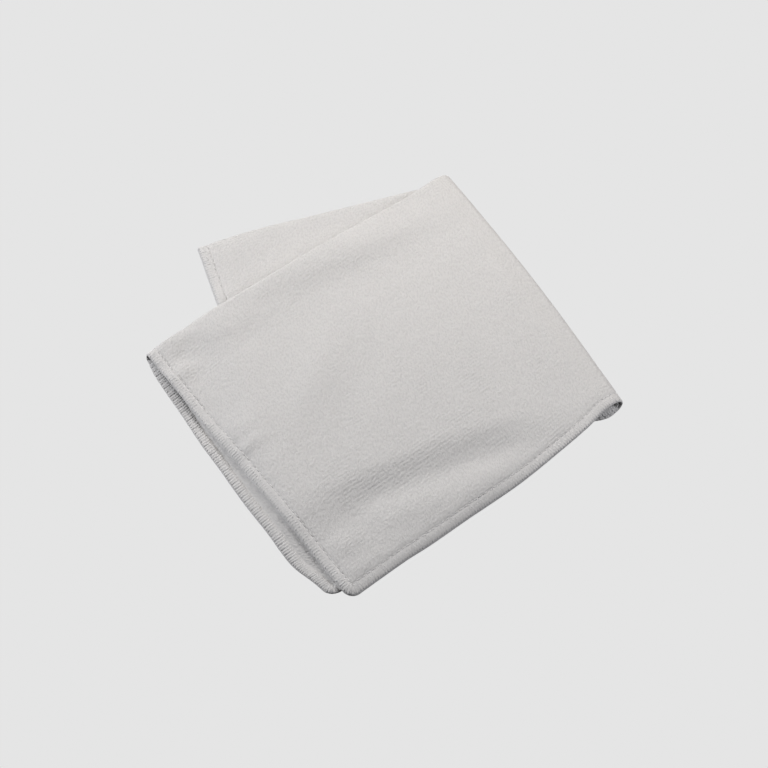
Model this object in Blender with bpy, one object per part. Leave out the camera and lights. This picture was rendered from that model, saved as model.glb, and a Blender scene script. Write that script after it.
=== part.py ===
"""A square knitted cleaning cloth, folded in quarters and laid flat.

The cloth is one sheet with an overlocked hem all round. A first fold along its ribs brings
two hems together, and a second fold, a little askew, turns the right half under the left.
Each point of the sheet is carried through both folds, so the four layers are one body.
"""

import math
from collections import namedtuple

import bpy

# Sizes of the flat cloth, in metres. Ribs run along its length
LENGTH = 0.401
WIDTH = 0.401
THICKNESS = 0.0016
HEM_WIDTH = 0.0066
HEM_RISE = 0.0004
CORNER_RADIUS = 0.007

# How the layers lie: the height from one to the next, and the extra room inside each fold
LAYER_STEP = 0.0024
FIRST_FOLD_LOFT = 0.0007
FIRST_FOLD_REACH = 0.014
SECOND_FOLD_ROOM = 0.0011
SECOND_FOLD_REACH = 0.045

# The second fold's outer line, by its distance from the left hem at the front and at the back
FOLD_LINE_FRONT = 0.2022
FOLD_LINE_BACK = 0.2325
FOLD_LINE_BULGE = 0.003

# The upper pair of layers sinks to the surface beyond the lower pair's hems
EDGE_CLEARANCE = 0.004
DRAPE_REACH = 0.020

# The upper layer's front hem hangs over the one below it, and droops
DROOP = 0.0020
DROOP_REACH = 0.006

# How far the front hems and the first fold stray from straight, along the cloth, and how much
# further back the second layer's front hem lies than the first layer's
Stray = namedtuple("Stray", "along front back set_back")
STRAYS = (
    Stray(along=0.000, front=-0.0028, back=0.0000, set_back=0.0075),
    Stray(along=0.020, front=-0.0026, back=0.0012, set_back=0.0075),
    Stray(along=0.040, front=-0.0026, back=0.0010, set_back=0.0075),
    Stray(along=0.055, front=-0.0034, back=0.0010, set_back=0.0070),
    Stray(along=0.085, front=-0.0037, back=0.0001, set_back=0.0065),
    Stray(along=0.120, front=-0.0049, back=0.0000, set_back=0.0065),
    Stray(along=0.150, front=-0.0040, back=0.0000, set_back=0.0055),
    Stray(along=0.185, front=-0.0034, back=-0.0004, set_back=0.0030),
    Stray(along=0.200, front=-0.0025, back=-0.0006, set_back=0.0010),
    Stray(along=0.213, front=-0.0054, back=-0.0006, set_back=0.0005),
    Stray(along=0.230, front=-0.0056, back=0.0000, set_back=0.0005),
    Stray(along=0.243, front=-0.0052, back=-0.0048, set_back=0.0005),
    Stray(along=0.280, front=-0.0045, back=-0.0032, set_back=0.0005),
    Stray(along=0.360, front=-0.0020, back=0.0007, set_back=0.0005),
    Stray(along=0.401, front=0.0000, back=-0.0005, set_back=0.0000),
)
SET_BACK_REACH = 0.045

# Across the cloth, how far the second layer's left hem shows beyond the first layer's, and how
# far the flap's hem bows out
Overhang = namedtuple("Overhang", "across second flap")
OVERHANGS = (
    Overhang(across=0.000, second=0.0068, flap=0.0000),
    Overhang(across=0.015, second=0.0088, flap=0.0004),
    Overhang(across=0.037, second=0.0124, flap=0.0008),
    Overhang(across=0.061, second=0.0115, flap=0.0010),
    Overhang(across=0.085, second=0.0108, flap=0.0012),
    Overhang(across=0.112, second=0.0090, flap=0.0014),
    Overhang(across=0.132, second=0.0080, flap=0.0015),
    Overhang(across=0.152, second=0.0060, flap=0.0014),
    Overhang(across=0.186, second=0.0032, flap=0.0006),
    Overhang(across=0.2005, second=0.0002, flap=0.0002),
)
OVERHANG_REACH = 0.055

# Soft ridges and hollows of the upper pair: middle, heading in degrees from the ribs,
# half sizes along and across the heading, height, and which layers they move
Swell = namedtuple("Swell", "name along across heading long wide height layers")
SWELLS = (
    Swell("mouth of first fold", 0.000, 0.166, 90, 0.034, 0.024, 0.0034, "first"),
    Swell("lift of left hem", 0.000, 0.080, 90, 0.055, 0.020, 0.0012, "first"),
    Swell("pillow on front strip", 0.055, 0.016, -6, 0.050, 0.014, 0.0012, "first"),
    Swell("lift of front hem", 0.150, 0.000, -3, 0.040, 0.018, 0.0010, "first"),
    Swell("pillow on middle", 0.110, 0.115, 20, 0.060, 0.050, 0.0006, "first"),
    Swell("ridge behind trough", 0.135, 0.160, -4, 0.060, 0.016, 0.0007, "first"),
    Swell("ridge by left hem", 0.032, 0.132, 60, 0.034, 0.015, 0.0012, "first"),
    Swell("ridge at front right", 0.165, 0.050, 10, 0.035, 0.020, 0.0007, "first"),
    Swell("front end of second fold", 0.196, 0.004, 90, 0.016, 0.030, 0.0012, "both"),
)

# Cells of the sheet: fine ones by the front and left hems, where it sinks to the surface,
# growing to coarse ones at the folds, and segments round each fold
UPPER_CELLS = 18
LOWER_CELLS = 8
ACROSS_CELLS = 17
FINE_SHARE = 0.55
FIRST_FOLD_SEGMENTS = 5
SECOND_FOLD_SEGMENTS = 7
SWELL_STEPS = (1.0, 0.62, 0.3)
HEM_STEPS = (0.0, 0.5, 1.0, 1.35)

CLOTH_COLOUR = (0.80, 0.79, 0.79, 1.0)

SKEW = math.atan2(FOLD_LINE_BACK - FOLD_LINE_FRONT, WIDTH / 2)
HALF_STEP = LAYER_STEP / 2
PAIR_TO_AXIS = HALF_STEP + THICKNESS / 2 + SECOND_FOLD_ROOM
AXIS_HEIGHT = THICKNESS + LAYER_STEP + SECOND_FOLD_ROOM
FOLD_START = -(PAIR_TO_AXIS + HALF_STEP + THICKNESS / 2)
SECOND_FOLD_RISE = 2 * (SECOND_FOLD_ROOM - (LAYER_STEP - THICKNESS) / 2)

Strip = namedtuple("Strip", "across facing bulge radius swell")


def ease(x):
    """Smooth step from 0 at x = 0 to 1 at x = 1."""
    x = min(max(x, 0.0), 1.0)
    return x * x * (3 - 2 * x)


def track(rows, along, column, at):
    """Value of a table's column at a place between its rows, along a smooth curve through them."""
    places = [getattr(row, along) for row in rows]
    values = [getattr(row, column) for row in rows]
    if at <= places[0]:
        return values[0]
    if at >= places[-1]:
        return values[-1]
    i = max(k for k, place in enumerate(places) if place <= at)

    def slope(k):
        before = max(k - 1, 0)
        after = min(k + 1, len(places) - 1)
        return (values[after] - values[before]) / (places[after] - places[before])

    span = places[i + 1] - places[i]
    t = (at - places[i]) / span
    start = values[i] * (1 + 2 * t) * (1 - t) ** 2 + span * slope(i) * t * (1 - t) ** 2
    end = values[i + 1] * (3 - 2 * t) * t**2 - span * slope(i + 1) * (1 - t) * t**2
    return start + end


def fold_loft(along):
    """How far the first fold stands open here: it is pressed flat beside the second fold."""
    return FIRST_FOLD_LOFT * ease(abs(along - FOLD_LINE_BACK) / 0.05)


def first_fold(v, loft):
    """Where the sheet's place v across the cloth lies once the first fold is made."""
    radius = HALF_STEP + loft
    flat = WIDTH / 2 - math.pi * radius / 2
    turn = min(max((v - flat) / radius, 0.0), math.pi)
    across = min(v, WIDTH - v, flat)
    swell = ease((across - flat + FIRST_FOLD_REACH) / FIRST_FOLD_REACH)
    return Strip(across, math.cos(turn), math.sin(turn), HALF_STEP + loft * swell, loft * swell)


def stray(along, across, facing):
    """Sideways shift of the folded strip, from its front hems to its folded back edge."""
    front = track(STRAYS, "along", "front", along)
    back = track(STRAYS, "along", "back", along)
    share = ease(across / (WIDTH / 2))
    set_back = track(STRAYS, "along", "set_back", along) * (1 - ease(across / SET_BACK_REACH))
    return front * (1 - share) + back * share + set_back * (1 - facing) / 2


def overhang(along, across, facing):
    """How far the second layer's left hem and the flap's hem are shifted along the cloth."""
    second = track(OVERHANGS, "across", "second", across)
    flap = track(OVERHANGS, "across", "flap", across)
    near_left = 1 - ease(along / OVERHANG_REACH)
    near_right = 1 - ease((LENGTH - along) / OVERHANG_REACH)
    return flap * near_right - second * near_left * (1 - facing) / 2


def from_fold_line(along, across):
    """Distances off the second fold's line, positive to its right, and along it."""
    off = (along - FOLD_LINE_FRONT) * math.cos(SKEW) - across * math.sin(SKEW)
    on = (along - FOLD_LINE_FRONT) * math.sin(SKEW) + across * math.cos(SKEW)
    return off, on


def second_fold(along, across, height):
    """Carries a point of the strip under, round the second fold: plan place, height and turn.

    All layers give way a little in the fold, so that their hems stay together beyond it."""
    off, on = from_fold_line(along, across)
    past = off - FOLD_START
    turn = min(max(past / PAIR_TO_AXIS, 0.0), math.pi)
    reach = FOLD_START + min(past, 0.0) - max(past - math.pi * PAIR_TO_AXIS, 0.0)
    reach += (PAIR_TO_AXIS + height) * math.sin(turn)
    full = math.sin(math.pi * min(max(on * math.cos(SKEW) / (WIDTH / 2), 0.0), 1.0))
    reach += FOLD_LINE_BULGE * full * ease(1 + reach / 0.06)
    x = FOLD_LINE_FRONT + reach * math.cos(SKEW) + on * math.sin(SKEW)
    y = -reach * math.sin(SKEW) + on * math.cos(SKEW)
    return x, y, AXIS_HEIGHT + (PAIR_TO_AXIS + height) * math.cos(turn), turn, -reach


def plan(u, v):
    """Plan place of a point of the sheet once both folds are made."""
    strip = first_fold(v, 0.0)
    across = strip.across + stray(u, strip.across, strip.facing)
    along = u + overhang(u, strip.across, strip.facing)
    return second_fold(along, across, 0.0)[:2]


def outside(x, y, start, end):
    """Distance of a plan point to the right of the line from start to end."""
    run = math.dist(start, end)
    return ((x - start[0]) * (end[1] - start[1]) - (y - start[1]) * (end[0] - start[0])) / run


FLAP_TIP = plan(LENGTH, WIDTH / 2)
HIDDEN_CORNER = plan(LENGTH, 0.0)
HIDDEN_HEM_END = plan(FOLD_LINE_FRONT + 0.02, 0.0)


def off_lower_pair(x, y):
    """Distance of a plan point beyond the lower pair's hidden hems."""
    left = outside(x, y, HIDDEN_CORNER, FLAP_TIP) * -1
    front = outside(x, y, HIDDEN_CORNER, HIDDEN_HEM_END)
    return math.hypot(max(left, 0.0), max(front, 0.0))


def swelling(x, y, facing):
    """Height of the soft ridges and hollows of the upper pair at a plan point."""
    total = 0.0
    for swell in SWELLS:
        heading = math.radians(swell.heading)
        dx = x - swell.along
        dy = y - swell.across
        a = (dx * math.cos(heading) + dy * math.sin(heading)) / swell.long
        b = (dy * math.cos(heading) - dx * math.sin(heading)) / swell.wide
        share = 1.0 if swell.layers == "both" else (1 + facing) / 2
        total += share * swell.height * math.exp(-a * a - b * b)
    return total


def rounded(u, v):
    """The sheet's place u, v moved in so that its corner is round: squares become circles."""
    from_left = min(u, LENGTH - u)
    from_front = min(v, WIDTH - v)
    a = CORNER_RADIUS - from_left
    b = CORNER_RADIUS - from_front
    if a <= 0 or b <= 0:
        return u, v
    pull = 1 - max(a, b) / math.hypot(a, b)
    u += a * pull * (1 if u < LENGTH / 2 else -1)
    v += b * pull * (1 if v < WIDTH / 2 else -1)
    return u, v


def hem_share(u, v):
    """1 on the hem band, 0 inside it."""
    edge = min(u, LENGTH - u, v, WIDTH - v)
    return 1 - ease((edge / HEM_WIDTH - 1) / 0.35)


def droop(across, along, facing):
    """How far the first layer's front hem hangs down beyond the second layer's."""
    near = 1 - ease(across / DROOP_REACH)
    clear_of_fold = 1 - ease((along - 0.13) / 0.05)
    return DROOP * near * clear_of_fold * (1 + facing) / 2


def place(u, v, column_loft, face):
    """Point of the sheet's outer face (face = 1) or inner face (face = -1) in the folded cloth."""
    band = hem_share(u, v)
    u, v = rounded(u, v)
    strip = first_fold(v, column_loft)
    across = strip.across + stray(u, strip.across, strip.facing)
    along = u + overhang(u, strip.across, strip.facing)
    turn = second_fold(along, across, 0.0)[3]
    outer_up = strip.facing * math.cos(turn)
    offset = face * (THICKNESS / 2 + HEM_RISE * band * (1 + face * outer_up) / 2)
    height = strip.swell * math.cos(turn) + (strip.radius + offset) * strip.facing
    across += (strip.radius + offset) * strip.bulge
    x, y, z, turn, left = second_fold(along, across, height)
    upper = (1 + math.cos(turn)) / 2
    if turn < math.pi / 2:
        z -= SECOND_FOLD_RISE * ease((left + FOLD_START) / SECOND_FOLD_REACH)
        sunk = ease((off_lower_pair(x, y) - EDGE_CLEARANCE) / DRAPE_REACH)
        z -= 2 * LAYER_STEP * sunk
    z += upper * swelling(x, y, strip.facing)
    z -= upper * droop(strip.across, u, strip.facing)
    return x, y, z


def graded(cells):
    """Shares from 0 to 1, not counting its ends, in steps that grow from fine to coarse."""
    even = [k / cells for k in range(1, cells)]
    return [FINE_SHARE * t + (1 - FINE_SHARE) * t * t for t in even]


def columns():
    """Stations along the cloth: how each is reached from the hems and the second fold."""
    stations = [("left hem", step * HEM_WIDTH) for step in HEM_STEPS]
    stations += [("upper", share) for share in graded(UPPER_CELLS)]
    stations += [("fold", k / SECOND_FOLD_SEGMENTS) for k in range(SECOND_FOLD_SEGMENTS + 1)]
    stations += [("lower", k / LOWER_CELLS) for k in range(1, LOWER_CELLS)]
    stations += [("right hem", step * HEM_WIDTH) for step in reversed(HEM_STEPS)]
    return stations


def station_along(kind, share, across):
    """Place along the cloth of a station, where the strip lies at this place across it."""
    start = FOLD_LINE_FRONT + (FOLD_START + across * math.sin(SKEW)) / math.cos(SKEW)
    arc = math.pi * PAIR_TO_AXIS / math.cos(SKEW)
    hem = HEM_STEPS[-1] * HEM_WIDTH
    if kind == "left hem":
        return share
    if kind == "upper":
        return hem + share * (start - hem)
    if kind == "fold":
        return start + share * arc
    if kind == "lower":
        return start + arc + share * (LENGTH - hem - start - arc)
    return LENGTH - share


def rows(loft):
    """Places across the cloth, from one hem round the first fold to the other."""
    radius = HALF_STEP + loft
    flat = WIDTH / 2 - math.pi * radius / 2
    half = [step * HEM_WIDTH for step in HEM_STEPS]
    clear = flat - FIRST_FOLD_REACH - half[-1]
    half += [half[-1] + share * clear for share in graded(ACROSS_CELLS)]
    half += [flat - step * FIRST_FOLD_REACH for step in SWELL_STEPS]
    round_fold = [
        flat + math.pi * radius * k / FIRST_FOLD_SEGMENTS for k in range(FIRST_FOLD_SEGMENTS + 1)
    ]
    return half + round_fold + [WIDTH - v for v in reversed(half)]


def sheet_faces(columns_count, rows_count):
    """Triangles of a closed sheet: its outer face, its inner face and the rim that joins them.

    Cells on both sides of the first fold are cut along diagonals that lie over each other,
    so facing layers keep their distance."""
    layer = columns_count * rows_count

    def corner(i, j, face):
        return face * layer + i * rows_count + j

    faces = []
    for i in range(columns_count - 1):
        for j in range(rows_count - 1):
            a, b, c, d = (i, j), (i + 1, j), (i + 1, j + 1), (i, j + 1)
            halves = [(a, b, c), (a, c, d)] if j < rows_count // 2 else [(a, b, d), (b, c, d)]
            for half in halves:
                faces.append([corner(*point, 0) for point in half])
                faces.append([corner(*point, 1) for point in reversed(half)])
    rim = [(i, 0) for i in range(columns_count - 1)]
    rim += [(columns_count - 1, j) for j in range(rows_count - 1)]
    rim += [(i, rows_count - 1) for i in range(columns_count - 1, 0, -1)]
    rim += [(0, j) for j in range(rows_count - 1, 0, -1)]
    for here, there in zip(rim, rim[1:] + rim[:1]):
        faces.append([corner(*here, 1), corner(*there, 1), corner(*there, 0), corner(*here, 0)])
    return faces


def folded_sheet():
    """Corners and faces of the folded cloth, standing on z = 0 round the middle of its box."""
    corners = []
    for face in (1, -1):
        for kind, share in columns():
            loft = fold_loft(station_along(kind, share, WIDTH / 2))
            for v in rows(loft):
                u = station_along(kind, share, first_fold(v, loft).across)
                corners.append(place(u, v, loft, face))
    middle_x = (max(x for x, y, z in corners) + min(x for x, y, z in corners)) / 2
    middle_y = (max(y for x, y, z in corners) + min(y for x, y, z in corners)) / 2
    corners = [(x - middle_x, y - middle_y, z) for x, y, z in corners]
    return corners, sheet_faces(len(columns()), len(rows(0.0)))


def cloth_material():
    """Clean white knitted microfibre."""
    material = bpy.data.materials.new("cloth")
    material.use_nodes = True
    shader = material.node_tree.nodes["Principled BSDF"]
    shader.inputs["Base Color"].default_value = CLOTH_COLOUR
    shader.inputs["Roughness"].default_value = 0.95
    shader.inputs["Metallic"].default_value = 0.0
    return material


def build_cloth():
    corners, faces = folded_sheet()
    mesh = bpy.data.meshes.new("cloth")
    mesh.from_pydata(corners, [], faces)
    mesh.materials.append(cloth_material())
    cloth = bpy.data.objects.new("cloth", mesh)
    bpy.context.scene.collection.objects.link(cloth)
    return cloth


for old in list(bpy.data.objects):
    bpy.data.objects.remove(old, do_unlink=True)

build_cloth()
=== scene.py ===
# %% [markdown]
# # A square cleaning cloth, folded in quarters
#
# The object is one white knitted microfibre cloth with an overlocked hem, taken to be 40 cm
# square. It is folded twice and lies flat on a table, with the second fold a little askew, so
# that a flap of the lower half shows behind.
#
# The plan follows the way the real thing is made. The cloth is knitted flat, hemmed flat, and
# only then folded. So this lesson makes the sheet and its hem stitches flat, and carries all
# their points through one fold map. Whatever is sewn on the cloth then follows each fold.

import math
from collections import namedtuple

import bpy
import numpy as np
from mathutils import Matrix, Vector


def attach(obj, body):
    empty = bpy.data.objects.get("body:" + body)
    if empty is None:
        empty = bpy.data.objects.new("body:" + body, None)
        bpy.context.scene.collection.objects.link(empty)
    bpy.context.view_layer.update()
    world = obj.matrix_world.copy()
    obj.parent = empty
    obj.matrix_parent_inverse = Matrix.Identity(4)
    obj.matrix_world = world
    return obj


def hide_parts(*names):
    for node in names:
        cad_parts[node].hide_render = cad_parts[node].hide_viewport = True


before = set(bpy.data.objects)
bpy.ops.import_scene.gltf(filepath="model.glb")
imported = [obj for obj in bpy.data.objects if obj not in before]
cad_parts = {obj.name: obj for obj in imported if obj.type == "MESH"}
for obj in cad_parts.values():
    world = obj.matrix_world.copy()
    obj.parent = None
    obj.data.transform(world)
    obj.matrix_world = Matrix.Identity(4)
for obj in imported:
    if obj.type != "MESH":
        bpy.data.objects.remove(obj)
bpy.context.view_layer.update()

# %% [markdown]
# ## Sizes
#
# A flat cloth needs few sizes. Ribs of the knit run along its length. The pile makes the sheet
# two millimetres thick, and the overlock stitches press the hem flatter. Then come the sizes of
# the two folds: how far apart the layers lie, and how much room the turns leave.

# %% Sizes of the flat cloth, in metres
LENGTH = 0.401
WIDTH = 0.401
HEM_WIDTH = 0.0064
CORNER_RADIUS = 0.007
RIB_SPACING = 0.0021
STITCH_LENGTH = 0.0034

# How the layers lie in the folded cloth
LAYER_STEP = 0.0024
HALF_STEP = LAYER_STEP / 2
FIRST_FOLD_LOFT = 0.0004
FIRST_FOLD_REACH = 0.014
FIRST_FOLD_OPENS_OVER = 0.05
PAIR_TO_AXIS = 0.0031
AXIS_HEIGHT = 0.0054
FOLD_START = -0.0051
SECOND_FOLD_RISE = 0.0014
SECOND_FOLD_REACH = 0.045

# The second fold's outer line, by its distance from the left hem at the front and at the back
FOLD_LINE_FRONT = 0.2022
FOLD_LINE_BACK = 0.2325
FOLD_LINE_BULGE = 0.003
FOLD_LINE_BULGE_REACH = 0.06
SKEW = math.atan2(FOLD_LINE_BACK - FOLD_LINE_FRONT, WIDTH / 2)

# Where the upper half starts to sink past the lower half's hidden hems, and over what distance
FRONT_SINK_START = -0.006
FRONT_SINK_REACH = 0.022
FRONT_SINK_REACH_AT_LEFT = 0.040
FRONT_SINK_LEFT_PART = 0.050
LEFT_SINK_START = 0.002
LEFT_SINK_REACH = 0.030

# Where the second fold starts to hold the upper half up, and over what distance
HELD_UP_START = 0.112
HELD_UP_REACH = 0.058

# How the front hem rolls down over the second layer's edge, and how the second fold is pressed
FRONT_ROLL = 0.0022
FRONT_ROLL_REACH = 0.010
FRONT_ROLL_REACH_AT_LEFT = 0.015
FRONT_ROLL_LEFT_PART = 0.060
FRONT_ROLL_FADE_START = 0.09
FRONT_ROLL_FADE_REACH = 0.07
PRESSED_SHARE = 0.20
PRESSED_REACH = 0.016

# Middle of the folded cloth, measured from its front left corner
FOLDED_MIDDLE = (0.10984, 0.12248)
print("skew of the second fold:", round(math.degrees(SKEW), 1), "degrees")

# %% [markdown]
# ## Uneven hems
#
# Nobody folds a cloth exactly edge to edge. Two short tables say how far the front hems and the
# fold stray from straight, and how far the second layer shows beyond the first. A smooth curve
# through each column gives the places in between. The curve is worked out for whole arrays of
# points at once, because numpy is many times faster than a loop over points.

# %% Tables of how far the hems stray
Stray = namedtuple("Stray", "along front back set_back")
STRAYS = (
    Stray(along=0.000, front=-0.0028, back=-0.0016, set_back=0.0075),
    Stray(along=0.020, front=-0.0026, back=-0.0002, set_back=0.0075),
    Stray(along=0.040, front=-0.0026, back=-0.0002, set_back=0.0075),
    Stray(along=0.055, front=-0.0034, back=-0.0006, set_back=0.0070),
    Stray(along=0.085, front=-0.0037, back=-0.0012, set_back=0.0065),
    Stray(along=0.120, front=-0.0047, back=-0.0012, set_back=0.0065),
    Stray(along=0.150, front=-0.0044, back=-0.0014, set_back=0.0055),
    Stray(along=0.172, front=-0.0032, back=-0.0020, set_back=0.0040),
    Stray(along=0.188, front=-0.0010, back=-0.0026, set_back=0.0025),
    Stray(along=0.200, front=-0.0012, back=-0.0030, set_back=0.0010),
    Stray(along=0.213, front=-0.0058, back=-0.0030, set_back=0.0005),
    Stray(along=0.228, front=-0.0030, back=-0.0024, set_back=0.0005),
    Stray(along=0.243, front=0.0025, back=-0.0058, set_back=0.0005),
    Stray(along=0.262, front=0.0065, back=-0.0052, set_back=0.0005),
    Stray(along=0.285, front=0.0070, back=-0.0042, set_back=0.0005),
    Stray(along=0.320, front=0.0060, back=-0.0026, set_back=0.0005),
    Stray(along=0.360, front=0.0035, back=-0.0008, set_back=0.0005),
    Stray(along=0.401, front=0.0000, back=-0.0018, set_back=0.0000),
)
SET_BACK_REACH = 0.045

Overhang = namedtuple("Overhang", "across second flap")
OVERHANGS = (
    Overhang(across=0.000, second=0.0068, flap=0.0000),
    Overhang(across=0.015, second=0.0088, flap=0.0004),
    Overhang(across=0.037, second=0.0124, flap=0.0008),
    Overhang(across=0.061, second=0.0115, flap=0.0010),
    Overhang(across=0.085, second=0.0108, flap=0.0012),
    Overhang(across=0.112, second=0.0090, flap=0.0014),
    Overhang(across=0.132, second=0.0080, flap=0.0015),
    Overhang(across=0.152, second=0.0060, flap=0.0014),
    Overhang(across=0.186, second=0.0032, flap=0.0006),
    Overhang(across=0.2005, second=0.0002, flap=0.0002),
)
OVERHANG_REACH = 0.055


def ease(x):
    """Smooth step from 0 at x = 0 to 1 at x = 1."""
    x = np.clip(x, 0.0, 1.0)
    return x * x * (3 - 2 * x)


def track(rows, column, at):
    """Value of a table's column, along a smooth curve through its rows."""
    places = np.array([row[0] for row in rows])
    values = np.array([getattr(row, column) for row in rows])
    before = np.maximum(np.arange(len(rows)) - 1, 0)
    after = np.minimum(np.arange(len(rows)) + 1, len(rows) - 1)
    slopes = (values[after] - values[before]) / (places[after] - places[before])
    at = np.clip(at, places[0], places[-1])
    i = np.clip(np.searchsorted(places, at, side="right") - 1, 0, len(rows) - 2)
    span = places[i + 1] - places[i]
    t = (at - places[i]) / span
    start = values[i] * (1 + 2 * t) * (1 - t) ** 2 + span * slopes[i] * t * (1 - t) ** 2
    end = values[i + 1] * (3 - 2 * t) * t**2 - span * slopes[i + 1] * (1 - t) * t**2
    return start + end


front_at_middle = 1000 * float(track(STRAYS, "front", 0.1))
print("front hem strays at the middle by", round(front_at_middle, 1), "mm")

# %% [markdown]
# ## The first fold
#
# The first fold runs along the ribs. A point's place across the cloth, v, grows from 0 at the
# front hem to the fold, goes round a half circle, and comes back over the second layer. The
# fold is a little fuller than the gap between the layers, except beside the second fold, where
# it is pressed flat.

# %% First fold
Strip = namedtuple("Strip", "across facing bulge radius swell")


def fold_loft(u):
    """How far the first fold stands open here."""
    return FIRST_FOLD_LOFT * ease(np.abs(u - FOLD_LINE_BACK) / FIRST_FOLD_OPENS_OVER)


def first_fold(v, loft):
    """Where the place v across the cloth lies once the first fold is made."""
    radius = HALF_STEP + loft
    flat = WIDTH / 2 - np.pi * radius / 2
    turn = np.clip((v - flat) / radius, 0.0, np.pi)
    across = np.minimum(np.minimum(v, WIDTH - v), flat)
    swell = ease((across - flat + FIRST_FOLD_REACH) / FIRST_FOLD_REACH)
    return Strip(across, np.cos(turn), np.sin(turn), HALF_STEP + loft * swell, loft * swell)


def stray(along, across, facing):
    """Sideways shift of the folded strip, from its front hems to its folded back edge."""
    front = track(STRAYS, "front", along)
    back = track(STRAYS, "back", along)
    share = ease(across / (WIDTH / 2))
    set_back = track(STRAYS, "set_back", along) * (1 - ease(across / SET_BACK_REACH))
    return front * (1 - share) + back * share + set_back * (1 - facing) / 2


def overhang(along, across, facing):
    """How far the second layer's left hem and the flap's hem are shifted along the cloth."""
    second = track(OVERHANGS, "second", across)
    flap = track(OVERHANGS, "flap", across)
    near_left = 1 - ease(along / OVERHANG_REACH)
    near_right = 1 - ease((LENGTH - along) / OVERHANG_REACH)
    return flap * near_right - second * near_left * (1 - facing) / 2


# %% [markdown]
# ## The second fold
#
# The second fold turns the right half under the left, about a line that is nine degrees off
# square. Both layers go round it together. They give way a little, so that their hems stay
# together beyond it, which is what friction does in a real cloth.

# %% Second fold
def second_fold(along, across, height):
    """Carries points round the second fold: plan place, height, turn, and distance left of it."""
    off = (along - FOLD_LINE_FRONT) * math.cos(SKEW) - across * math.sin(SKEW)
    on = (along - FOLD_LINE_FRONT) * math.sin(SKEW) + across * math.cos(SKEW)
    past = off - FOLD_START
    turn = np.clip(past / PAIR_TO_AXIS, 0.0, np.pi)
    reach = FOLD_START + np.minimum(past, 0.0) - np.maximum(past - np.pi * PAIR_TO_AXIS, 0.0)
    reach = reach + (PAIR_TO_AXIS + height) * np.sin(turn)
    full = np.sin(np.pi * np.clip(on * math.cos(SKEW) / (WIDTH / 2), 0.0, 1.0))
    reach = reach + FOLD_LINE_BULGE * full * ease(1 + reach / FOLD_LINE_BULGE_REACH)
    x = FOLD_LINE_FRONT + reach * math.cos(SKEW) + on * math.sin(SKEW)
    y = -reach * math.sin(SKEW) + on * math.cos(SKEW)
    return x, y, AXIS_HEIGHT + (PAIR_TO_AXIS + height) * np.cos(turn), turn, -reach


def plan(u, v):
    """Plan place of a point of the sheet once both folds are made."""
    strip = first_fold(v, 0.0)
    across = strip.across + stray(u, strip.across, strip.facing)
    along = u + overhang(u, strip.across, strip.facing)
    return second_fold(along, across, 0.0)[:2]


CLEAR_OF_FOLD = 0.02
HIDDEN_HEM_POINTS = 60
FLAP_TIP = plan(LENGTH, WIDTH / 2)
HIDDEN_CORNER = plan(LENGTH, 0.0)
hidden_places = np.linspace(LENGTH, FOLD_LINE_FRONT + CLEAR_OF_FOLD, HIDDEN_HEM_POINTS)
HIDDEN_HEM = np.stack(plan(hidden_places, 0.0))
HEM_RUN = HIDDEN_HEM[:, -1] - HIDDEN_HEM[:, 0]
HEM_SLANT = math.cos(math.atan2(-HEM_RUN[1], HEM_RUN[0]))
print("tip of the flap, mm:", [round(1000 * float(place)) for place in FLAP_TIP])

# %% [markdown]
# ## Soft ridges and hollows
#
# A laid cloth is never quite flat. The upper half sinks where the lower half ends beneath it,
# its loose corners gape, and the pressed fold lines stay a little proud. Each ridge or hollow
# is one row of a table: a soft oval bump with a place, a heading and a height. A simulation
# would crumple the cloth at random, while the rows give the creases of this one.

# %% Table of ridges and hollows
Swell = namedtuple("Swell", "name along across heading long wide height layers")
SWELLS = (
    Swell("mouth of first fold", 0.000, 0.174, 90, 0.028, 0.018, 0.0026, "first"),
    Swell("pillow on front strip", 0.062, 0.020, -10, 0.024, 0.011, 0.0018, "first"),
    Swell("second pillow on front strip", 0.104, 0.010, -8, 0.026, 0.009, 0.0014, "first"),
    Swell("small pillow at front left", 0.016, 0.026, 0, 0.010, 0.007, 0.0012, "first"),
    Swell("pillow on middle", 0.110, 0.115, 20, 0.060, 0.050, 0.0010, "first"),
    Swell("crease across front strip", 0.036, 0.020, 105, 0.013, 0.006, -0.0002, "first"),
    Swell("sharp fold over dimple", 0.011, 0.108, 3, 0.010, 0.004, 0.0016, "first"),
    Swell("soft fold behind dimple", 0.014, 0.120, 8, 0.014, 0.008, 0.0014, "first"),
    Swell("ridge above left crease", 0.048, 0.184, -6, 0.026, 0.009, 0.0015, "first"),
    Swell("crease from left corner", 0.044, 0.168, -7, 0.030, 0.007, -0.0002, "first"),
    Swell("short ridge by left hem", 0.011, 0.174, 0, 0.010, 0.005, 0.0014, "first"),
    Swell("ridge near left corner", 0.020, 0.197, -2, 0.020, 0.011, 0.0026, "first"),
    Swell("ridge inside first fold", 0.136, 0.185, -7, 0.066, 0.012, 0.0032, "first"),
    Swell("ridge behind first fold", 0.105, 0.201, -4, 0.050, 0.009, 0.0009, "all"),
    Swell("pillow in flap", 0.092, 0.230, -14, 0.030, 0.012, 0.0018, "all"),
    Swell("soft trough on middle", 0.086, 0.101, 32, 0.038, 0.011, -0.0008, "first"),
    Swell("ridge left of that trough", 0.068, 0.122, 32, 0.034, 0.011, 0.0013, "first"),
    Swell("front end of second fold", 0.196, 0.004, 90, 0.016, 0.030, 0.0012, "both"),
)
print("ridges and hollows:", len(SWELLS))

# %% How the upper half drapes
def outside(x, y, start, end):
    """Distance of plan points to the right of the line from start to end."""
    run = math.dist(start, end)
    return ((x - start[0]) * (end[1] - start[1]) - (y - start[1]) * (end[0] - start[0])) / run


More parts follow.
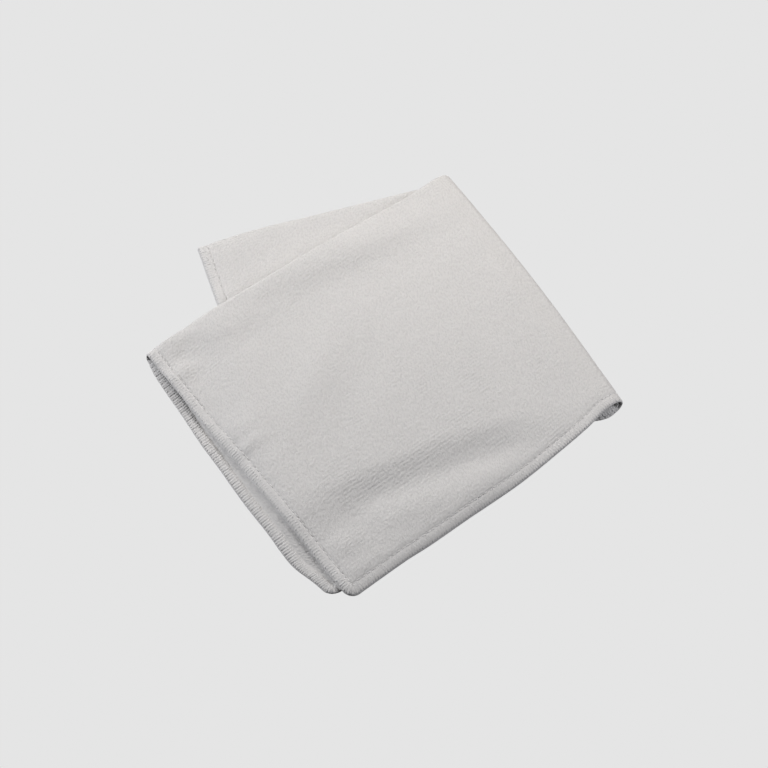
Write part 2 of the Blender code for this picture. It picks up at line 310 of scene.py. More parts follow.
def sinking(x, y):
    """Share of the way down to the table, at plan points past the lower half's hidden hems."""
    left = (outside(x, y, FLAP_TIP, HIDDEN_CORNER) - LEFT_SINK_START) / LEFT_SINK_REACH
    before_hem = (np.interp(x, *HIDDEN_HEM) - y) * HEM_SLANT
    at_left = 1 - ease(x / FRONT_SINK_LEFT_PART)
    reach = FRONT_SINK_REACH + (FRONT_SINK_REACH_AT_LEFT - FRONT_SINK_REACH) * at_left
    front = (before_hem - FRONT_SINK_START) / reach
    held_up_by_fold = ease((x - HELD_UP_START) / HELD_UP_REACH)
    share = ease(np.hypot(np.maximum(left, 0.0), np.maximum(front, 0.0)))
    return share * (1 - held_up_by_fold)


def swelling(x, y, facing, upper):
    """Height of the soft ridges and hollows at plan points, for the layer they are on."""
    share = {"first": upper * (1 + facing) / 2, "both": upper, "all": 1.0}
    total = 0.0
    for swell in SWELLS:
        heading = math.radians(swell.heading)
        dx = x - swell.along
        dy = y - swell.across
        a = (dx * math.cos(heading) + dy * math.sin(heading)) / swell.long
        b = (dy * math.cos(heading) - dx * math.sin(heading)) / swell.wide
        total = total + share[swell.layers] * swell.height * np.exp(-a * a - b * b)
    return total


def front_roll(across, along, facing):
    """How far the first layer's front hem rolls down over the second layer's edge."""
    at_left = 1 - ease(along / FRONT_ROLL_LEFT_PART)
    reach = FRONT_ROLL_REACH + (FRONT_ROLL_REACH_AT_LEFT - FRONT_ROLL_REACH) * at_left
    near = np.clip(1 - across / reach, 0.0, 1.0)
    clear_of_fold = 1 - ease((along - FRONT_ROLL_FADE_START) / FRONT_ROLL_FADE_REACH)
    return FRONT_ROLL * near * near * clear_of_fold * (1 + facing) / 2


print("share sunk at the front left corner:", round(float(sinking(0.0, 0.0)), 2))

# %% [markdown]
# The fold map puts the steps together: the first fold, the uneven hems, the second fold, and
# then the heights. Bones or hooks could bend a mesh too, but a map is exact, and it carries the
# sheet and the stitches alike. A point's lift is its height over the cloth's middle surface.

# %% The fold map
def fold(u, v, lift):
    """Carries points of the flat cloth, lift above its middle surface, into the folded cloth."""
    strip = first_fold(v, fold_loft(u))
    across = strip.across + stray(u, strip.across, strip.facing)
    along = u + overhang(u, strip.across, strip.facing)
    turn = second_fold(along, across, 0.0)[3]
    height = strip.swell * np.cos(turn) + (strip.radius + lift) * strip.facing
    across = across + (strip.radius + lift) * strip.bulge
    x, y, z, turn, left = second_fold(along, across, height)
    upper = (1 + np.cos(turn)) / 2
    lowered = SECOND_FOLD_RISE * ease((left + FOLD_START) / SECOND_FOLD_REACH)
    z = z - (turn < np.pi / 2) * (lowered + 2 * LAYER_STEP * sinking(x, y))
    z = z + swelling(x, y, strip.facing, upper)
    z = z - upper * front_roll(strip.across, u, strip.facing)
    z = z * (1 - PRESSED_SHARE * (1 - ease(left / PRESSED_REACH)))
    return np.stack([x - FOLDED_MIDDLE[0], y - FOLDED_MIDDLE[1], z], axis=-1)


print("middle of the top layer, mm:", np.round(1000 * fold(0.1, 0.1, 0.001), 1))

# %% [markdown]
# ## The sheet
#
# The sheet is a grid of cells with an outer and an inner face, closed by a narrow rim. It could
# be a plane with a Solidify modifier, but a grid with listed rows can have fine ones where the
# hem and the folds need them, and wider ones between. A second table gives the thickness from
# the edge inwards: a rounded edge, the flat hem, the groove of the needle line, and the full
# pile.

# %% Rows and columns of the grid
Edge = namedtuple("Edge", "inward half")
EDGES = (
    Edge(inward=0.00000, half=0.00015),
    Edge(inward=0.00020, half=0.00045),
    Edge(inward=0.00050, half=0.00063),
    Edge(inward=0.00100, half=0.00078),
    Edge(inward=0.00180, half=0.00086),
    Edge(inward=0.00300, half=0.00090),
    Edge(inward=0.00420, half=0.00088),
    Edge(inward=0.00520, half=0.00081),
    Edge(inward=0.00580, half=0.00070),
    Edge(inward=0.00620, half=0.00062),
    Edge(inward=0.00680, half=0.00066),
    Edge(inward=0.00780, half=0.00082),
    Edge(inward=0.00940, half=0.00096),
    Edge(inward=0.01100, half=0.00103),
    Edge(inward=0.02200, half=0.00100),
)
HEM_ROW_COUNT = 13
HEM_ROWS = [edge.inward for edge in EDGES[:HEM_ROW_COUNT]]
CLEAR_OF_HEM = HEM_ROWS[-1]
UPPER_CELLS = 96
LOWER_CELLS = 52
ACROSS_CELLS = 82
SWELL_CELLS = 7
FIRST_FOLD_CELLS = 12
SECOND_FOLD_CELLS = 16


def even(cells):
    """Shares from 0 to 1 in even steps, not counting the ends."""
    return [k / cells for k in range(1, cells)]


def columns():
    """Stations along the cloth: the stretch each is on, and its share or distance there."""
    stations = [("left hem", inward) for inward in HEM_ROWS]
    stations += [("upper", share) for share in even(UPPER_CELLS)]
    stations += [("fold", k / SECOND_FOLD_CELLS) for k in range(SECOND_FOLD_CELLS + 1)]
    stations += [("lower", share) for share in even(LOWER_CELLS)]
    stations += [("right hem", inward) for inward in reversed(HEM_ROWS)]
    return stations


def along_cloth(across):
    """Places along the cloth of all columns, where the strip lies at these places across it."""
    start = FOLD_LINE_FRONT + (FOLD_START + across * math.sin(SKEW)) / math.cos(SKEW)
    arc = math.pi * PAIR_TO_AXIS / math.cos(SKEW)
    stretches = {
        "left hem": (0.0 * start, 1.0),
        "upper": (CLEAR_OF_HEM + 0.0 * start, start - CLEAR_OF_HEM),
        "fold": (start, arc),
        "lower": (start + arc, LENGTH - CLEAR_OF_HEM - start - arc),
        "right hem": (LENGTH + 0.0 * start, -1.0),
    }
    places = np.zeros(np.broadcast_shapes(across.shape, (len(columns()), 1)))
    for i, (stretch, share) in enumerate(columns()):
        origin, size = stretches[stretch]
        place = origin + share * size
        places[i] = place[i] if len(place) > 1 else place[0]
    return places


def across_cloth(loft):
    """Places across the cloth of all rows, for columns whose first fold stands this far open."""
    radius = HALF_STEP + loft
    flat = WIDTH / 2 - np.pi * radius / 2
    ones = np.ones_like(loft)
    clear = flat - FIRST_FOLD_REACH - CLEAR_OF_HEM
    half = [inward * ones for inward in HEM_ROWS]
    half += [CLEAR_OF_HEM + share * clear for share in even(ACROSS_CELLS)]
    half += [flat - FIRST_FOLD_REACH * (1 - k / SWELL_CELLS) for k in range(SWELL_CELLS)]
    bend = [flat + np.pi * radius * k / FIRST_FOLD_CELLS for k in range(FIRST_FOLD_CELLS + 1)]
    return np.hstack(half + bend + [WIDTH - v for v in reversed(half)])


loft_of_column = fold_loft(along_cloth(np.array([[WIDTH / 2]])))
grid_v = across_cloth(loft_of_column)
grid_u = along_cloth(first_fold(grid_v, loft_of_column).across)
print("cells:", grid_u.shape[0] - 1, "along,", grid_u.shape[1] - 1, "across")

# %% [markdown]
# The corners of the cloth are round, so that the overlock can run round them. Squares near each
# corner are pulled in to circles, which keeps the rows of the hem parallel to its edge.

# %% Corners, thickness and faces
def rounded(u, v):
    """The sheet's places u, v moved in so that its corners are round."""
    a = CORNER_RADIUS - np.minimum(u, LENGTH - u)
    b = CORNER_RADIUS - np.minimum(v, WIDTH - v)
    in_corner = (a > 0) & (b > 0)
    pull = np.where(in_corner, 1 - np.maximum(a, b) / np.hypot(a, b), 0.0)
    u = u + a * pull * np.where(u < LENGTH / 2, 1, -1)
    v = v + b * pull * np.where(v < WIDTH / 2, 1, -1)
    return u, v


def edge_distance(u, v):
    """Distance from the nearest edge of the flat cloth."""
    return np.minimum(np.minimum(u, LENGTH - u), np.minimum(v, WIDTH - v))


def sheet_faces(shape):
    """Four-cornered faces of a closed sheet: outer face, inner face and the rim between them."""
    outer = np.arange(shape[0] * shape[1]).reshape(shape)
    inner = outer + outer.size

    def cells(grid):
        sides = [grid[:-1, :-1], grid[1:, :-1], grid[1:, 1:], grid[:-1, 1:]]
        return np.stack(sides, axis=-1).reshape(-1, 4)

    def loop(grid):
        return np.concatenate([grid[:-1, 0], grid[-1, :-1], grid[:0:-1, -1], grid[0, :0:-1]])

    here = loop(outer)
    below = loop(inner)
    rim = np.stack([below, np.roll(below, -1), np.roll(here, -1), here], axis=-1)
    return cells(outer), cells(inner)[:, ::-1], rim


def mesh_of(name, points, faces):
    """A plain mesh object in the scene, smooth all over."""
    mesh = bpy.data.meshes.new(name)
    mesh.from_pydata(np.asarray(points).reshape(-1, 3).tolist(), [], [list(f) for f in faces])
    mesh.polygons.foreach_set("use_smooth", np.ones(len(mesh.polygons), bool))
    piece = bpy.data.objects.new(name, mesh)
    bpy.context.scene.collection.objects.link(piece)
    return piece


# %% Make the folded sheet
inward = [edge.inward for edge in EDGES]
half_thickness = np.interp(edge_distance(grid_u, grid_v), inward, [edge.half for edge in EDGES])
round_u, round_v = rounded(grid_u, grid_v)
outer_points = fold(round_u, round_v, half_thickness)
inner_points = fold(round_u, round_v, -half_thickness)
outer_faces, inner_faces, rim_faces = sheet_faces(grid_u.shape)
cloth = mesh_of(
    "folded_cloth",
    np.stack([outer_points, inner_points]),
    np.vstack([outer_faces, inner_faces, rim_faces]).tolist(),
)
print("faces of the sheet:", len(cloth.data.polygons))

# %% [markdown]
# The knit has to follow the folds, so its pattern needs the flat place of each point. A UV map
# holds exactly that: u and v in metres, as if the cloth were unfolded. The inner face has its
# own place beside the outer one, so that no two faces share a spot of the map.

# %% Flat map of the knit
INNER_FACE_SHIFT = 0.5
RIM_STRIP = 0.0004
AT_EDGE = 1e-6


def flat_map():
    """Flat place of each face corner, in the order of the mesh's faces."""
    flat = np.stack([grid_u, grid_v], axis=-1).reshape(-1, 2)
    outer = flat[outer_faces]
    inner = flat[inner_faces - len(flat)] + (INNER_FACE_SHIFT, 0.0)
    at_rim = flat[rim_faces % len(flat)]
    half_size = np.array([LENGTH, WIDTH]) / 2
    from_middle = at_rim - half_size
    outward = np.sign(from_middle) * (np.abs(from_middle) > half_size - AT_EDGE)
    rim = at_rim + outward * RIM_STRIP * (rim_faces >= len(flat))[..., None]
    return np.vstack([outer, inner, rim]).reshape(-1, 2)


flat_layer = cloth.data.uv_layers.new(name="flat")
flat_layer.uv.foreach_set("vector", flat_map().astype(np.float32).ravel())
print("flat map reaches from", flat_map().min(0), "to", flat_map().max(0))

# %% [markdown]
# ## The overlocked hem
#
# An overlock machine runs a chain of thread round the cut edge. Each stitch has two looper
# threads that cross the hem, meet at the needle line and wrap over the edge, and one needle
# thread that lies in a groove at the inner side. One stitch is modelled from its thread paths,
# and Geometry Nodes repeat it along the edge. Drawing nearly five hundred stitches by hand would
# fix their number, while a node tree takes the stitch length as an input.

# %% A thread as a tube, around a guide that no thread starts along
SIDE_GUIDE = (0.3, 0.2, 0.9)


def tube(path, radius, sides, flatness=1.0):
    """Points and faces of a thread along a path, closed at both ends and pressed flat."""
    path = np.asarray(path, float)
    way = np.gradient(path, axis=0)
    way /= np.linalg.norm(way, axis=1)[:, None]
    side = np.cross(way[0], SIDE_GUIDE)
    points = []
    for place, direction in zip(path, way):
        side = side - direction * (side @ direction)
        side /= np.linalg.norm(side)
        over = np.cross(direction, side)
        for k in range(sides):
            angle = 2 * math.pi * k / sides
            offset = radius * (math.cos(angle) * side + math.sin(angle) * over)
            points.append(place + offset * (1.0, 1.0, flatness))
    faces = []
    for i in range(len(path) - 1):
        for k in range(sides):
            a, b = i * sides + k, i * sides + (k + 1) % sides
            faces.append([a, b, b + sides, a + sides])
    last = (len(path) - 1) * sides
    faces.append(list(range(sides))[::-1])
    faces.append([last + k for k in range(sides)])
    return np.array(points), faces


def join(parts):
    """Points and faces of several parts as one list each."""
    points, faces = [], []
    for part_points, part_faces in parts:
        start = sum(len(p) for p in points)
        points.append(part_points)
        faces += [[start + corner for corner in face] for face in part_faces]
    return np.vstack(points), faces


# %% One stitch, in metres: x along the hem, y inwards from the edge, z up
LOOPER_RADIUS = 0.00076
LOOPER_FLATNESS = 0.38
LOOPER_SIDES = 5
NEEDLE_RADIUS = 0.00032
NEEDLE_SIDES = 4
LOOPER_LEG = (
    (0.00065, 0.0056, -0.00058),
    (0.00085, 0.0036, -0.00074),
    (0.00088, 0.0006, -0.00060),
    (0.00088, 0.0006, 0.00060),
    (0.00082, 0.0036, 0.00074),
)
NEEDLE_HOLE = (0.0, 0.0059, 0.00056)
NEEDLE_THREAD = (
    (0.0, 0.0061, 0.00050),
    (STITCH_LENGTH / 2, 0.0061, 0.00074),
    (STITCH_LENGTH, 0.0061, 0.00050),
)
mirrored_leg = [(-x, y, z) for x, y, z in reversed(LOOPER_LEG)]
looper_path = [*LOOPER_LEG, NEEDLE_HOLE, *mirrored_leg]
looper = tube(looper_path, LOOPER_RADIUS, LOOPER_SIDES, LOOPER_FLATNESS)
needle = tube(NEEDLE_THREAD, NEEDLE_RADIUS, NEEDLE_SIDES)
stitch = mesh_of("stitch", *join([looper, needle]))
print("faces of one stitch:", len(stitch.data.polygons))

# %% The cut edge of the flat cloth, as a line to sew along
CORNER_STEPS = 10


def hem_line():
    """Points of the flat cloth's edge, counterclockwise, with round corners."""
    corners = [
        (CORNER_RADIUS, CORNER_RADIUS, 180),
        (LENGTH - CORNER_RADIUS, CORNER_RADIUS, 270),
        (LENGTH - CORNER_RADIUS, WIDTH - CORNER_RADIUS, 0),
        (CORNER_RADIUS, WIDTH - CORNER_RADIUS, 90),
    ]
    points = []
    for x, y, start in corners:
        for k in range(CORNER_STEPS + 1):
            angle = math.radians(start + 90 * k / CORNER_STEPS)
            right = CORNER_RADIUS * math.cos(angle)
            up = CORNER_RADIUS * math.sin(angle)
            points.append((x + right, y + up, 0))
    return points


def line_object(name, points):
    """A closed line through the points, as an object with edges and no faces."""
    mesh = bpy.data.meshes.new(name)
    closed = [(i, (i + 1) % len(points)) for i in range(len(points))]
    mesh.from_pydata(points, closed, [])
    line = bpy.data.objects.new(name, mesh)
    bpy.context.scene.collection.objects.link(line)
    return line


hem = line_object("hem_threads", hem_line())
print("stitches round the edge: about", round(2 * (LENGTH + WIDTH) / STITCH_LENGTH))

# %% [markdown]
# The node tree turns the edge into a curve, cuts it into stitch lengths, and puts one stitch at
# each cut, turned to the edge. A little random turn and size from a fixed seed keeps the row
# from looking ruled. The last two nodes make real faces and give them their finish, because a
# row of instances would be lost when the model is exported.

# %% Node tree that sews along a line
STITCH_TURN = 0.04
STITCH_SIZE_CHANGE = 0.03
SEWING_SEED = 7


def add_input(tree, name, kind, value=None):
    """A named input of the tree. Returns the identifier by which a modifier sets it."""
    item = tree.interface.new_socket(name=name, in_out="INPUT", socket_type=kind)
    if value is not None:
        item.default_value = value
    return item.identifier


def sewing_tree():
    tree = bpy.data.node_groups.new("sew along a line", "GeometryNodeTree")
    tree.interface.new_socket(name="Geometry", in_out="OUTPUT", socket_type="NodeSocketGeometry")
    names = {
        "Line": add_input(tree, "Line", "NodeSocketGeometry"),
        "Stitch": add_input(tree, "Stitch", "NodeSocketObject"),
        "Stitch length": add_input(tree, "Stitch length", "NodeSocketFloat", STITCH_LENGTH),
        "Turn": add_input(tree, "Turn", "NodeSocketFloat", STITCH_TURN),
        "Size change": add_input(tree, "Size change", "NodeSocketFloat", STITCH_SIZE_CHANGE),
        "Seed": add_input(tree, "Seed", "NodeSocketInt", SEWING_SEED),
        "Finish": add_input(tree, "Finish", "NodeSocketMaterial"),
    }

    def node(kind, settings=(), inputs=()):
        """Adds a node: its settings first, then the values or links of its sockets."""
        made = tree.nodes.new(kind)
        for key, value in dict(settings).items():
            setattr(made, key, value)
        for key, value in dict(inputs).items():
            if isinstance(value, bpy.types.NodeSocket):
                tree.links.new(value, made.inputs[key])
            else:
                made.inputs[key].default_value = value
        return made

    given = node("NodeGroupInput").outputs
    curve = node("GeometryNodeMeshToCurve", (), {"Mesh": given["Line"]}).outputs[0]
    cuts = node(
        "GeometryNodeResampleCurve",
        {"mode": "LENGTH"},
        {"Curve": curve, "Length": given["Stitch length"]},
    ).outputs[0]
    direction = node("GeometryNodeInputTangent").outputs[0]
    along = node(
        "FunctionNodeAlignRotationToVector",
        {"axis": "X", "pivot_axis": "Z"},
        {"Vector": direction},
    ).outputs[0]
    lowest_turn = node("ShaderNodeMath", {"operation": "MULTIPLY"}, {0: given["Turn"], 1: -1.0})
    spread = node(
        "FunctionNodeRandomValue",
        {"data_type": "FLOAT"},
        {2: lowest_turn.outputs[0], 3: given["Turn"], "Seed": given["Seed"]},
    ).outputs[1]
    about_up = node("ShaderNodeCombineXYZ", (), {"Z": spread}).outputs[0]
    turned = node(
        "FunctionNodeRotateRotation",
        {"rotation_space": "LOCAL"},
        {"Rotation": along, "Rotate By": about_up},
    ).outputs[0]
    around_one = {0: 1.0, 1: given["Size change"]}
    smallest = node("ShaderNodeMath", {"operation": "SUBTRACT"}, around_one)
    largest = node("ShaderNodeMath", {"operation": "ADD"}, around_one)
    size = node(
        "FunctionNodeRandomValue",
        {"data_type": "FLOAT"},
        {2: smallest.outputs[0], 3: largest.outputs[0], "Seed": given["Seed"]},
    ).outputs[1]
    shape = node("GeometryNodeObjectInfo", (), {"Object": given["Stitch"]}).outputs["Geometry"]
    row = node(
        "GeometryNodeInstanceOnPoints",
        (),
        {"Points": cuts, "Instance": shape, "Rotation": turned, "Scale": size},
    ).outputs[0]
    real = node("GeometryNodeRealizeInstances", (), {"Geometry": row}).outputs[0]
    finish_inputs = {"Geometry": real, "Material": given["Finish"]}
    finished = node("GeometryNodeSetMaterial", (), finish_inputs)
    ending = tree.nodes.new("NodeGroupOutput")
    tree.links.new(finished.outputs[0], ending.inputs[0])
    return tree, names


# %% [markdown]
# ## Finishes
#
# Node materials are easier to read as sums. A small class stands for one output socket, so that
# `1 - mask` or `a * b` adds the Math nodes. Every other node is made by one method, which takes
# the node's type, its settings and what goes into its sockets.

# %% Sums of sockets
class Wire:
    """One output socket of a material's node, with sums written as in Python."""

    def __init__(self, tree, socket=None):
        self.tree = tree
        self.socket = socket

    def make(self, kind, settings=(), inputs=(), output=0):
        """Adds a node: its settings first, then the values or links of its sockets."""
        node = self.tree.nodes.new(kind)
        for key, value in dict(settings).items():
            setattr(node, key, value)
        for key, value in dict(inputs).items():
            if isinstance(value, Wire):
                self.tree.links.new(value.socket, node.inputs[key])
            else:
                node.inputs[key].default_value = value
        return Wire(self.tree, node.outputs[output])

    def sum(self, operation, *terms):
        return self.make("ShaderNodeMath", {"operation": operation}, dict(enumerate(terms)))

    def __add__(self, other):
        return self.sum("ADD", self, other)

    def __sub__(self, other):
        return self.sum("SUBTRACT", self, other)

    def __rsub__(self, other):
        return self.sum("SUBTRACT", other, self)

    def __mul__(self, other):
        return self.sum("MULTIPLY", self, other)

    def __truediv__(self, other):
        return self.sum("DIVIDE", self, other)

    def least(self, other):
        return self.sum("MINIMUM", self, other)

    def wave(self):
        """0 to 1 and back over each whole number."""
        return self.sum("COSINE", self * (2 * math.pi)) * -0.5 + 0.5

    def step(self, start, end):
        """Smooth step from 0 at start to 1 at end."""
        inputs = {0: self, 1: start, 2: end, 3: 0.0, 4: 1.0}
        return self.make("ShaderNodeMapRange", {"interpolation_type": "SMOOTHSTEP"}, inputs)

    def blend(self, colour, other):
        """From one colour, where this is 0, to the other, where it is 1."""
        inputs = {0: self, 6: colour, 7: other}
        return self.make("ShaderNodeMix", {"data_type": "RGBA"}, inputs, 2)

    def bump(self, strength, depth):
        """Bumps of this height, for a shader's Normal."""
        inputs = {"Strength": strength, "Distance": depth, "Height": self}
        return self.make("ShaderNodeBump", (), inputs)

    __radd__ = __add__
    __rmul__ = __mul__


def new_finish(name, **constants):
    """A material, its shader, and a wire to start from. Constants go on the shader's sockets."""
    material = bpy.data.materials.new(name)
    material.use_nodes = True
    shader = material.node_tree.nodes["Principled BSDF"]
    for socket, value in constants.items():
        shader.inputs[socket.replace("_", " ")].default_value = value
    return material, shader, Wire(material.node_tree)


def drive(shader, socket, wire):
    wire.tree.links.new(wire.socket, shader.inputs[socket])


# %% [markdown]
# ## The knit
#
# The cloth is a warp knit with a short brushed pile. Fine ribs run along it, and over them the
# split fibres stand in soft tufts of about a millimetre. Where the pile is full it hides the
# ribs, and where the cloth is drawn flat they show. Ribs and tufts are far too fine to model,
# so they come from bump and from painted shade that darkens the valleys between them. The flat
# map tells the nodes where each point lay before folding.

# %% Finish of the knitted pile
PILE_WHITE = (0.815, 0.808, 0.800, 1.0)
# Grey of the painted shade in the pile's valleys
PAINTED_SHADE_GREY = (0.700, 0.694, 0.690, 1.0)
TUFT_SIZE = 0.0011
TUFT_STRETCH = 1.9
TUFT_LEAN = math.radians(60)
FLEECE_SIZE = 0.0075
DRIFT_SIZE = 0.030
RIB_WANDER = 0.35

# Where across the cloth the pile becomes full and ends being so, and how far it hides the ribs
FULL_FROM = (0.075, 0.105)
FULL_UNTIL = (0.150, 0.175)
RIBS_HIDDEN = 0.6

# How high each part of the pattern stands, and how much painted shade darkens its valleys
TUFT_RELIEF = 0.9
RIB_RELIEF = 0.14
FLEECE_RELIEF = 0.8
PILE_BUMP = 0.9
PILE_DEPTH = 0.0006
TUFT_PAINTED_SHADE = 0.55
RIB_PAINTED_SHADE = 0.24

# How far the hem calms the relief, how that fades, and a place between the map's two faces
HEM_CALM = 0.6
HEM_FADE_OUTWARD = 0.0004
HEM_FADE_INWARD = 0.0012
BETWEEN_FACES = 0.45


def knitted_pile():
    material, shader, start = new_finish(
        "knitted_pile",
        Roughness=0.95,
        Specular_IOR_Level=0.15,
        Sheen_Weight=0.12,
        Sheen_Roughness=0.55,
    )
    place = start.make("ShaderNodeUVMap", {"uv_map": "flat"})
    u = start.make("ShaderNodeSeparateXYZ", (), {0: place}, 0)
    v = start.make("ShaderNodeSeparateXYZ", (), {0: place}, 1)
    u = u - u.sum("GREATER_THAN", u, BETWEEN_FACES) * INNER_FACE_SHIFT
    edge = u.least(LENGTH - u).least(v.least(WIDTH - v))

    def noise(size, detail, roughness, lean=0.0, stretch=1.0):
        """Cloudy pattern, drawn out by stretch along a line that leans from the ribs."""
        turned = {"Vector": place, "Rotation": (0.0, 0.0, lean), "Scale": (stretch, 1.0, 1.0)}
        placed = start.make("ShaderNodeMapping", {"vector_type": "TEXTURE"}, turned)
        settings = {"noise_dimensions": "2D"}
        inputs = {"Vector": placed, "Scale": 1 / size, "Detail": detail, "Roughness": roughness}
        return start.make("ShaderNodeTexNoise", settings, inputs)

    tufts = noise(TUFT_SIZE, 2.0, 0.6, TUFT_LEAN, TUFT_STRETCH)
    fleece = noise(FLEECE_SIZE, 3.0, 0.55)
    drift = noise(DRIFT_SIZE, 2.0, 0.5)
    ribs = (v / RIB_SPACING + fleece * RIB_WANDER).wave()
    first_layer_middle = v.step(*FULL_FROM) - v.step(*FULL_UNTIL)
    drawn_flat = (1 - first_layer_middle * RIBS_HIDDEN) * drift.step(0.25, 0.75)
    on_hem = 1 - edge.step(HEM_WIDTH - HEM_FADE_OUTWARD, HEM_WIDTH + HEM_FADE_INWARD)
    relief = tufts * TUFT_RELIEF + ribs * drawn_flat * RIB_RELIEF + fleece * FLEECE_RELIEF
    height = relief * (1 - on_hem * HEM_CALM)
    # Painted shade: darker grey in the valleys between tufts and between ribs, where the pile
    # shades itself
    tuft_painted_shade = (1 - tufts.step(0.32, 0.60)) * TUFT_PAINTED_SHADE
    valley_painted_shade = tuft_painted_shade + (1 - ribs) * drawn_flat * RIB_PAINTED_SHADE
    drive(shader, "Base Color", valley_painted_shade.blend(PILE_WHITE, PAINTED_SHADE_GREY))
    drive(shader, "Normal", height.bump(PILE_BUMP, PILE_DEPTH))
    return material


pile_finish = knitted_pile()
cloth.data.materials.append(pile_finish)
print("nodes of the pile:", len(pile_finish.node_tree.nodes))

# %% [markdown]
# ## The thread
#
# The overlock thread is a fluffy textured polyester, a shade whiter and smoother than the pile.
# Its filaments show as a fine grain, with painted shade in the grooves between them, which a
# noise in the object's own coordinates gives well enough at this size.

# %% Finish of the overlock thread
THREAD_WHITE = (0.83, 0.825, 0.82, 1.0)
# Grey of the painted shade between the filaments
THREAD_PAINTED_SHADE_GREY = (0.70, 0.695, 0.69, 1.0)
FILAMENT_SIZE = 0.0006
FILAMENT_BUMP = 0.4
FILAMENT_DEPTH = 0.0002


def overlock_thread():
    material, shader, start = new_finish(
        "overlock_thread",
        Roughness=0.8,
        Specular_IOR_Level=0.25,
        Sheen_Weight=0.1,
        Sheen_Roughness=0.5,
    )
    place = start.make("ShaderNodeTexCoord", (), (), "Object")
    inputs = {"Vector": place, "Scale": 1 / FILAMENT_SIZE, "Detail": 2.0, "Roughness": 0.6}
    filaments = start.make("ShaderNodeTexNoise", (), inputs)
    # Painted shade: the grey goes where the filament bump is low, in the grooves between
    # filaments
    shade = 1 - filaments.step(0.30, 0.60)
    drive(shader, "Base Color", shade.blend(THREAD_WHITE, THREAD_PAINTED_SHADE_GREY))
    drive(shader, "Normal", filaments.bump(FILAMENT_BUMP, FILAMENT_DEPTH))
    return material


thread_finish = overlock_thread()
print("nodes of the thread:", len(thread_finish.node_tree.nodes))

# %% [markdown]
# ## Sew, then fold
#
# The tree runs on the flat edge line. Its result becomes a plain mesh, the modifier goes, and
# the fold map carries each point of the threads into the folded cloth.

# %% Sew the hem and fold it
def give(modifier, identifiers, **values):
    """Sets a modifier's inputs by their identifiers."""
    for name, value in values.items():
        modifier[identifiers[name.replace("_", " ")]] = value


def plain(piece):
    """Replaces a piece's mesh by what its modifiers make of it, and removes them."""
    evaluated = piece.evaluated_get(bpy.context.evaluated_depsgraph_get())
    mesh = bpy.data.meshes.new_from_object(evaluated)
    piece.modifiers.clear()
    piece.data = mesh


def fold_piece(piece):
    """Carries a piece that was made on the flat cloth into the folded cloth."""
    flat = np.zeros(len(piece.data.vertices) * 3)
    piece.data.vertices.foreach_get("co", flat)
    flat = flat.reshape(-1, 3)
    piece.data.vertices.foreach_set("co", fold(flat[:, 0], flat[:, 1], flat[:, 2]).ravel())
    piece.data.update()


tree, identifiers = sewing_tree()
sewing = hem.modifiers.new("sewing", "NODES")
sewing.node_group = tree
give(
    sewing,
    identifiers,
    Stitch=stitch,
    Stitch_length=STITCH_LENGTH,
    Turn=STITCH_TURN,
    Size_change=STITCH_SIZE_CHANGE,
    Seed=SEWING_SEED,
    Finish=thread_finish,
)
plain(hem)
fold_piece(hem)
bpy.data.objects.remove(stitch, do_unlink=True)
hem.data.polygons.foreach_set("use_smooth", np.ones(len(hem.data.polygons), bool))
print("faces of the hem threads:", len(hem.data.polygons))

# %% [markdown]
# ## Table and light
#
# The table is a plain pale sheet. The photo's light is soft, as in a light tent: two wide
# softboxes stand on opposite sides, and two smaller lamps hang near the cloth's far side. The
# far half is then brighter than the near one, and the side of a ridge that faces the camera is
# a little darker. A single lamp would throw hard shadows, and a bright sky would hide the folds.

# %% Table
TABLE_TONE = 0.783
PALE = (TABLE_TONE, TABLE_TONE, TABLE_TONE, 1.0)
TABLE_SIZE = 6.0


def pale_table():
    material = bpy.data.materials.new("pale_table")
    material.use_nodes = True
    start = Wire(material.node_tree)
    for old in list(material.node_tree.nodes):
        material.node_tree.nodes.remove(old)
    glow = start.make("ShaderNodeEmission", (), {"Color": PALE, "Strength": 1.0})
    ending = material.node_tree.nodes.new("ShaderNodeOutputMaterial")
    material.node_tree.links.new(glow.socket, ending.inputs["Surface"])
    return material


half_table = TABLE_SIZE / 2
table = mesh_of(
    "table",
    [
        (-half_table, -half_table, 0),
        (half_table, -half_table, 0),
        (half_table, half_table, 0),
        (-half_table, half_table, 0),
    ],
    [(0, 1, 2, 3)],
)
table.data.materials.append(pale_table())
table.visible_diffuse = False
table.visible_glossy = False
print("table side, m:", TABLE_SIZE)

# %% Lamps, in metres and watts, aimed at the middle of the cloth
CLOTH_MIDDLE = (0.0, 0.0, 0.0)
COOL_WHITE = (0.965, 0.97, 1.0)
WARM_WHITE = (1.0, 0.945, 0.885)
SOFTBOX = 0.70
SMALL_LAMP = 0.35

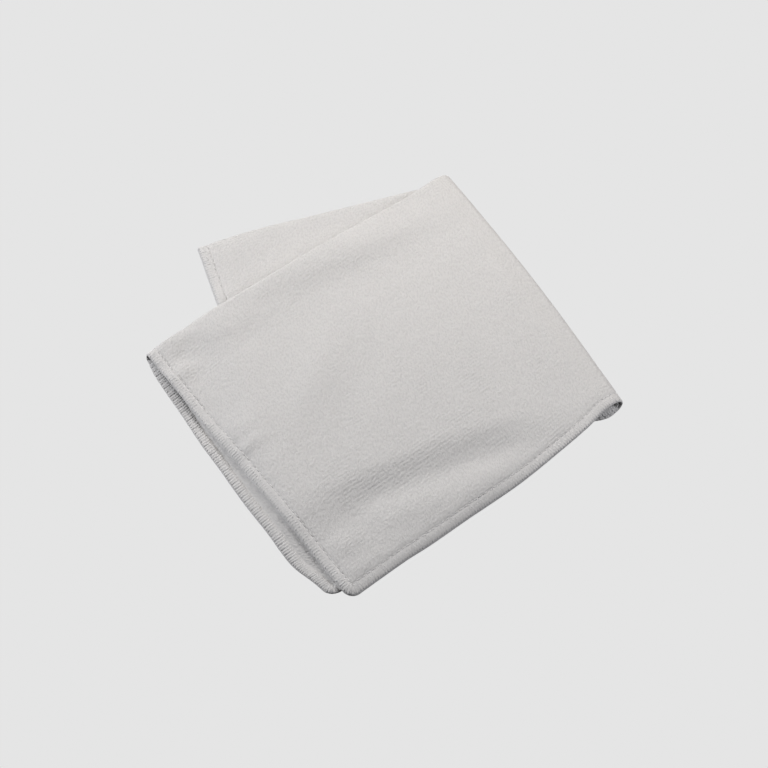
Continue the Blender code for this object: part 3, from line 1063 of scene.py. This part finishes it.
Lamp = namedtuple("Lamp", "name place across power colour")
LAMPS = (
    Lamp("softbox_at_left", (-0.735, 0.735, 0.60), SOFTBOX, 9.0, COOL_WHITE),
    Lamp("softbox_at_right", (0.735, -0.735, 0.60), SOFTBOX, 5.7, COOL_WHITE),
    Lamp("lamp_near_right", (0.39, 0.225, 0.45), SMALL_LAMP, 1.50, WARM_WHITE),
    Lamp("lamp_near_back", (0.0, 0.45, 0.45), SMALL_LAMP, 0.62, WARM_WHITE),
)


def aim(name, data, place, target):
    """Puts a lamp or camera at a place and turns it to look at the target."""
    holder = bpy.data.objects.new(name, data)
    holder.location = place
    holder.rotation_mode = "QUATERNION"
    holder.rotation_quaternion = (Vector(target) - Vector(place)).to_track_quat("-Z", "Y")
    bpy.context.scene.collection.objects.link(holder)
    return holder


for lamp in LAMPS:
    light = bpy.data.lights.new(lamp.name, "AREA")
    light.shape = "DISK"
    light.size = lamp.across
    light.energy = lamp.power
    light.color = lamp.colour
    aim(lamp.name, light, lamp.place, CLOTH_MIDDLE)
print("lamps:", len(LAMPS))

# %% Background
world = bpy.data.worlds.new("studio")
bpy.context.scene.world = world
world.use_nodes = True
world.node_tree.nodes["Background"].inputs["Color"].default_value = PALE
world.cycles_visibility.diffuse = False
world.cycles_visibility.glossy = False
bpy.context.scene.view_settings.view_transform = "Standard"
print("background tone:", TABLE_TONE)

# %% [markdown]
# ## Camera
#
# The camera's place, height and lens were worked out from the cloth's corners in the photo and
# the size taken for the cloth, so the render lies on the photo without any shift of the lens.

# %% Camera, with its lens and sensor in millimetres
CAMERA_LENS = 69.0
CAMERA_SENSOR = 36.0
CAMERA_PLACE = (-0.3048, -0.4059, 0.7301)
CAMERA_TARGET = (-0.0082, -0.0249, 0.0)
camera_data = bpy.data.cameras.new("camera")
camera_data.lens = CAMERA_LENS
camera_data.sensor_width = CAMERA_SENSOR
camera = aim("camera", camera_data, CAMERA_PLACE, CAMERA_TARGET)
bpy.context.scene.camera = camera
print("camera to cloth, m:", round(math.dist(CAMERA_PLACE, CAMERA_TARGET), 2))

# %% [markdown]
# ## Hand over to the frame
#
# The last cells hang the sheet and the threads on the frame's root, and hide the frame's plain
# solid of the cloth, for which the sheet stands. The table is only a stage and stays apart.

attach(cloth, "root")
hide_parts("cloth")
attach(hem, "root")
